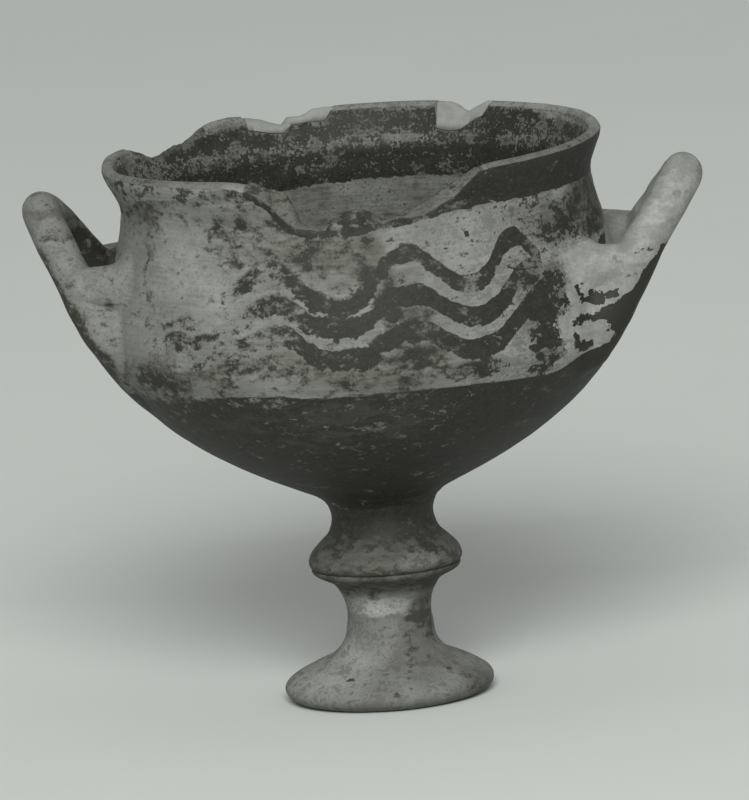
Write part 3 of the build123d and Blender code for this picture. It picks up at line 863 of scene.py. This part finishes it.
def outside_of_bowl(s):
    """Bands and bare clay of the outside, as (grey, how much paint is left, wheel lines)."""
    a, z = s.azimuth, s.z
    at = z + s.ragged

    # How much paint is left
    # The stains include painted shade by the left lower body and inside the right handle's loop
    cover = s.patches(STAINS_AND_SHADE) + fall(-64, -34, a) * 0.06 - 0.02 - 0.42 * band(14, 62, a, 4)
    cover, bright, drawn = wavy_bands(s, at, cover, s.patches(PALE, 0.5))
    cover = most(cover, s.patches(BLOTS))
    cover = most(cover, fall(0.15, 0.5, abs(at - profile(a, STROKE))) * band(35.5, 44, a, 0.8))
    neck = ramp(-0.3, 0.3, z + s.ragged * 0.5 - profile(a, NECK_LINE)) * fall(159.2, 160.2, at)
    cover = between(neck, cover, profile(a, NECK_LEFT) + s.patches(NECK_WORN))
    # The dark body's upper edge fades over more height at the left, partly as painted shade where
    # the wall turns away
    blur = ramp(-48, -34, a, 2.4, 0.35)
    body = ramp(blur * -1.0, blur, profile(a, BODY_LINE) - z - s.ragged * 0.6)
    streak = s.noise(4.5, 3, 0.6, 51, (2.6, 2.6, 0.6))
    cover = between(body, cover, streak * 0.06 + 1.33 + s.patches(SCUFFS))
    flaked_from = profile(z + s.grain * 0.3, FLAKED_FROM)
    flaked = ramp(-0.7, 0.7, a + s.mottle * 0.6 + s.grain * 0.7 - flaked_from)
    flaked = flaked * fall(130, 132.5, z) * fall(115, 125, a) * (1.0 - body)
    cover = between(flaked, cover, ramp(0.40, 0.60, s.patches(ISLANDS, 0.6), -0.7, 1.5))

    # The grey of the clay and of the paint, with painted light on the left side
    lines = s.noise(0.7, 2, 0.6, 61, (26, 26, 1))
    soiled = 1.0 - 0.65 * flaked - 0.35 * band(10, 36, a, 4) - 0.3 * fall(-10, 8, a)
    dirt = between(soiled, 1.0, s.soil + lines * 0.05)
    light = (s.broad * 0.008 + 0.212 - 0.006 * ramp(0, 20, a)) * dirt
    scored = fall(0.1, 0.45, abs(z - 107.3)) * band(-64, -35, a, 2)
    # Painted light: the clay left of about -30 is made paler, as if that side were lit more
    light = light * (1.0 + bright - scored * 0.3 - 0.13 * band(14, 66, a, 6)
                     + 0.08 * fall(-40, -20, a))
    dark = (s.grain * 0.13 + s.fine * 0.12 + 1.0) * PAINT
    smears = s.patches(SMEARS) * 0.019
    dark = dark + ramp(-0.8, 1.6, streak * 0.7 + s.mottle * 0.5) * smears

    # How softly the paint fades into the clay
    soft = 0.84 - 0.50 * ramp(12, 30, a) + 0.46 * fall(-95, -85, a) + 0.40 * ramp(58, 68, a)
    soft = between(drawn * fall(-8, 30, a), soft, 0.55)
    soft = between(most(neck, body), soft, 0.50)
    soft = between(band(41, 58, a + s.mottle, 2.5) * band(99, 129, z, 2), soft, 0.20)
    value, left = s.paint(light, dark, cover, soft)
    return value, left, lines


def inside_of_bowl(s, lines):
    """Two dark bands under the rim with a worn line between, and bare wheel-marked clay below."""
    a = s.azimuth
    side = (abs(a) - 180.0) * ramp(-1, 1, a, 1.0, -1.0)
    away = abs(side)
    at = s.z + s.ragged
    cover = 0.90 - 0.32 * band(148.8, 152.4, s.z + s.mottle * 0.6, 1.6) * fall(40, 62, away)
    cover = cover + 0.14 * fall(147.2, 148.2, s.z + s.mottle * 0.4) + s.patches(INSIDE_PATCHES)
    above = ramp(-0.4, 0.4, s.z + s.ragged * 0.5 - profile(side, INSIDE_LINE))
    cover = between(above, 0.06, cover)
    bare = at - fall(2, 8, away) * 0.8 + ramp(52, 60, side) * 1.6 + fall(-30, -15, side) * 0.9
    cover = cover - 0.75 * ramp(157.6, 160.0, bare)
    spots = s.mottle * 0.15 + s.grain * 0.21 + s.fine * 0.21 + 0.5
    light = (s.soil + s.mottle * 0.04 + lines * 0.06) * (0.178 + 0.004 * above)
    dark = (s.grain * 0.2 + s.fine * 0.15 + 0.95) * PAINT
    value, _ = s.paint(light, dark, cover, 0.95 - 0.57 * above, spots)
    return value


def rim_of_bowl(s, value):
    """The bare lip and the broken edges, over the grey of the walls."""
    behind = ramp(100, 115, abs(s.azimuth))
    broken = ramp(behind * 0.32 + 0.03, behind * -0.3 + 0.9, s.mark("broken"))
    light = s.soil * profile(s.azimuth, LIP_GREY)
    lip, _ = s.paint(light, PAINT + 0.02, s.patches(LIP_PAINT) + 0.06, 0.8)
    value = between(ramp(0.72, 0.94, s.mark("lip")) * (1.0 - broken), value, lip)
    light = s.soil * ramp(-10, 20, s.azimuth, 0.130, 0.112)
    edge, _ = s.paint(light, PAINT + 0.01, s.patches(EDGE_STAINS) + 0.27, 0.5)
    return between(broken, value, edge)


def painted_clay(name, handle=None, stretch=(-200, 200)):
    """Worn dark paint over pale clay, for the bowl, or a handle and its clay smeared on the wall.

    handle gives the grey, and how much paint is left, of what stands clear of the wall.
    """
    s = Surface(name, stretch=stretch)
    value, left, lines = outside_of_bowl(s)
    if handle:
        own, kept = handle(s)
        clear = ramp(0.5, 2.0, s.radius - profile(s.z, WALL_LINE))
        value, left = between(clear, value, own), between(clear, left, kept)
    else:
        value = between(ramp(0.0, 0.06, s.mark("inside")), value, inside_of_bowl(s, lines))
        value = rim_of_bowl(s, value)
    height = s.grain * 0.5 + s.fine * 0.4 + lines * 0.12
    return s.finish(value, height, 0.84 - 0.22 * left + s.grain * 0.015, 0.014)


def below_body_line(s, soft):
    """1 below the upper edge of the dark lower body."""
    return ramp(-soft, soft, profile(s.azimuth, BODY_LINE) - s.z - s.ragged)


def left_handle_paint(s):
    """Mottled and dirty, with a dark strip along its underside that is partly paint and partly
    painted shade.
    """
    turn = abs(s.azimuth + 95.0)
    under = turn - profile(s.z, UNDER_LEFT) + 0.4 + s.mottle * 0.7 + s.grain * 0.4
    # The strip under the handle is paint and painted shade together
    strip = fall(-1.2, 1.2, under) * fall(137, 142, s.z)
    cover = most(strip + 0.15, below_body_line(s, 1.0) * 1.3) + s.patches(LEFT_DARK_PATCHES)
    return s.paint(0.228 * s.soil, PAINT + 0.008, cover, 0.95 - 0.4 * strip)


def right_handle_paint(s):
    """Pale and clean, with a dark strip along its underside that is partly paint and partly painted
    shade, and a few specks.
    """
    turn, behind = abs(s.azimuth - 85.0), ramp(84, 92, s.azimuth)
    # The strip under the handle is paint and painted shade together
    under = fall(-0.4, 0.5, turn - profile(s.z, UNDER_RIGHT) + s.mottle * 0.25) * (1.0 - behind)
    strip = under * fall(128.0, 129.4, s.z + s.grain * 0.3)
    cover = most(strip, fall(112, 116, s.z) * behind) * 1.3
    cover = most(cover, s.patches([(67.6, 128.0, 1.5, 0.9, 0.72)]), below_body_line(s, 0.4) * 1.3)
    islands = ramp(0.40, 0.60, s.patches(ISLANDS, 0.6) + s.fine * 0.03) * fall(120, 121, s.z)
    cover = most(cover, islands * 1.4)
    light = s.broad * 0.006 + 0.238 - 0.022 * fall(124, 134, s.z)
    light = light * between(0.35, 1.0, s.soil) * (1.0 - s.patches(RIGHT_DIRT))
    return s.paint(light, PAINT, cover * 1.8 - 0.8, 0.20)


def stem_clay():
    """The bell: paint from the bowl, worn away towards the ring."""
    s = Surface("stem_clay", lean=False)
    cover = profile(s.z + s.mottle * 0.4, STEM_COVER) + s.patches(STEM_PATCHES)
    lines = s.noise(0.6, 2, 0.6, 61, (14, 14, 1))
    light = 0.136 * (s.soil + lines * 0.04)
    dark = (s.grain * 0.2 + s.fine * 0.15 + 1.35) * PAINT
    value, left = s.paint(light, dark, cover, 0.62)
    height = s.grain * 0.5 + s.fine * 0.4 + lines * 0.15
    return s.finish(value, height, 0.8 - 0.15 * left, 0.014)


def foot_clay():
    """Bare clay: dark under the ring, partly as painted shadow, a pale band, then grey, with pits
    and dirt along the rim; painted shade darkens its right side and painted light brightens its
    left.
    """
    s = Surface("foot_clay", lean=False)
    # The cover holds the painted shadow under the ring and the painted shade on the right
    cover = profile(s.z + s.mottle * 0.3, FOOT_COVER) + s.patches(FOOT_DIRT_AND_SHADE)
    # The pale patches are painted light on the foot's left
    light = (s.broad * 0.006 + 0.196) * s.soil * (1.0 + s.patches(FOOT_PAINTED_LIGHT, 0.4))
    value, left = s.paint(light, PAINT + 0.02, cover, 0.95)
    return s.finish(value, s.grain * 0.5 + s.fine * 0.4, 0.84 - 0.1 * left, 0.016)


def plaster():
    """The smooth made-up places in the rim."""
    s = Surface("plaster")
    value = (s.broad * 0.008 + s.grain * 0.010 + s.mottle * 0.010) + 0.256
    return s.finish(value, s.mottle * 0.5 + s.grain * 0.3, 0.9 + s.grain * 0.01, 0.01)


def paper():
    """The floor."""
    s = Surface("floor_paper", lean=False)
    value = s.noise(60, 3, 0.5, 5) * 0.002 + 0.667
    return s.finish(value, s.fine * 0.3, 0.9 + s.broad * 0.01, 0.004)


# ---- the cup

make_bowl(painted_clay("painted_clay"))
repair = plaster()
for fill in FILLS:
    make_fill(fill, repair)
make_handle("handle_left_roll", "handle_left", HANDLE_TURN + math.pi, LEFT_HALF,
            LEFT_SHELVES, painted_clay("handle_clay", left_handle_paint, (-132, -58)), 41)
make_handle("handle_right_roll", "handle_right", HANDLE_TURN, RIGHT_HALF,
            RIGHT_SHELVES, painted_clay("pale_handle_clay", right_handle_paint, (50, 125)), 43)
make_turned("upper_stem_bell", "upper_stem", STEM_OUTLINE, 150, stem_clay())
make_turned("foot_body", "foot", FOOT_OUTLINE, 190, foot_clay(), foot_aside)


# ---- floor, light and camera

def ground():
    """A round floor, wide enough to fill the view."""
    rim = [(9 * math.cos(t), 9 * math.sin(t), 0) for t in np.radians(np.arange(0, 360, 3))]
    mesh = bpy.data.meshes.new("floor")
    mesh.from_pydata(rim, [], [list(range(len(rim)))])
    mesh.materials.append(paper())
    placed("floor", mesh)


def studio():
    """Even light from all round, with a grey backdrop for the camera and for reflections."""
    world = bpy.data.worlds.new("studio")
    bpy.context.scene.world = world
    world.use_nodes = True
    tree = world.node_tree
    light = tree.nodes["Background"]
    light.inputs["Color"].default_value = (1, 1, 1, 1)
    light.inputs["Strength"].default_value = 0.36
    backdrop = add(tree, "Background", (0.456, 0.479, 0.451, 1))
    path = add(tree, "LightPath")
    seen = most(*[Value(tree, path.outputs[ray])
                  for ray in ("Is Camera Ray", "Is Glossy Ray", "Is Transmission Ray")])
    choose = add(tree, "MixShader", seen, *[Value(tree, s.outputs[0]) for s in (light, backdrop)])
    tree.links.new(choose.outputs[0], tree.nodes["World Output"].inputs["Surface"])


def softbox():
    """One large soft lamp in front and above."""
    lamp = bpy.data.lights.new("softbox", "AREA")
    lamp.shape = "RECTANGLE"
    lamp.size, lamp.size_y = 2.5, 2.0
    lamp.energy = 274
    obj = placed("softbox", lamp)
    obj.location = (-0.08, -4.45, 2.90)
    aim = Vector((0, 0, 0.1)) - obj.location
    obj.rotation_euler = aim.to_track_quat("-Z", "Y").to_euler()


def view():
    """The photograph's view: 749 by 800 pixels, 0.286 mm each at the cup's axis, from 4 m."""
    width, pixel, distance, sensor = 749, 0.286 * MM, 4.0, 36
    elevation, roll = math.radians(10.1), math.radians(4.3)
    ahead = Vector((0, math.cos(elevation), -math.sin(elevation)))
    level, above = Vector((1, 0, 0)), Vector((0, math.sin(elevation), math.cos(elevation)))
    right = level * math.cos(roll) - above * math.sin(roll)
    up = level * math.sin(roll) + above * math.cos(roll)
    camera = bpy.data.cameras.new("camera")
    camera.sensor_fit = "HORIZONTAL"
    camera.sensor_width = sensor
    camera.lens = sensor * distance / pixel / width
    camera.clip_end = 50
    obj = placed("camera", camera)
    eye = Vector((0, 0, 0.080)) - ahead * distance + level * 0.7 * pixel + above * 19.6 * pixel
    rows = [(right[k], up[k], -ahead[k], eye[k]) for k in range(3)]
    obj.matrix_world = Matrix((*rows, (0, 0, 0, 1)))
    bpy.context.scene.camera = obj


ground()
studio()
softbox()
view()
bpy.context.scene.view_settings.view_transform = "Standard"
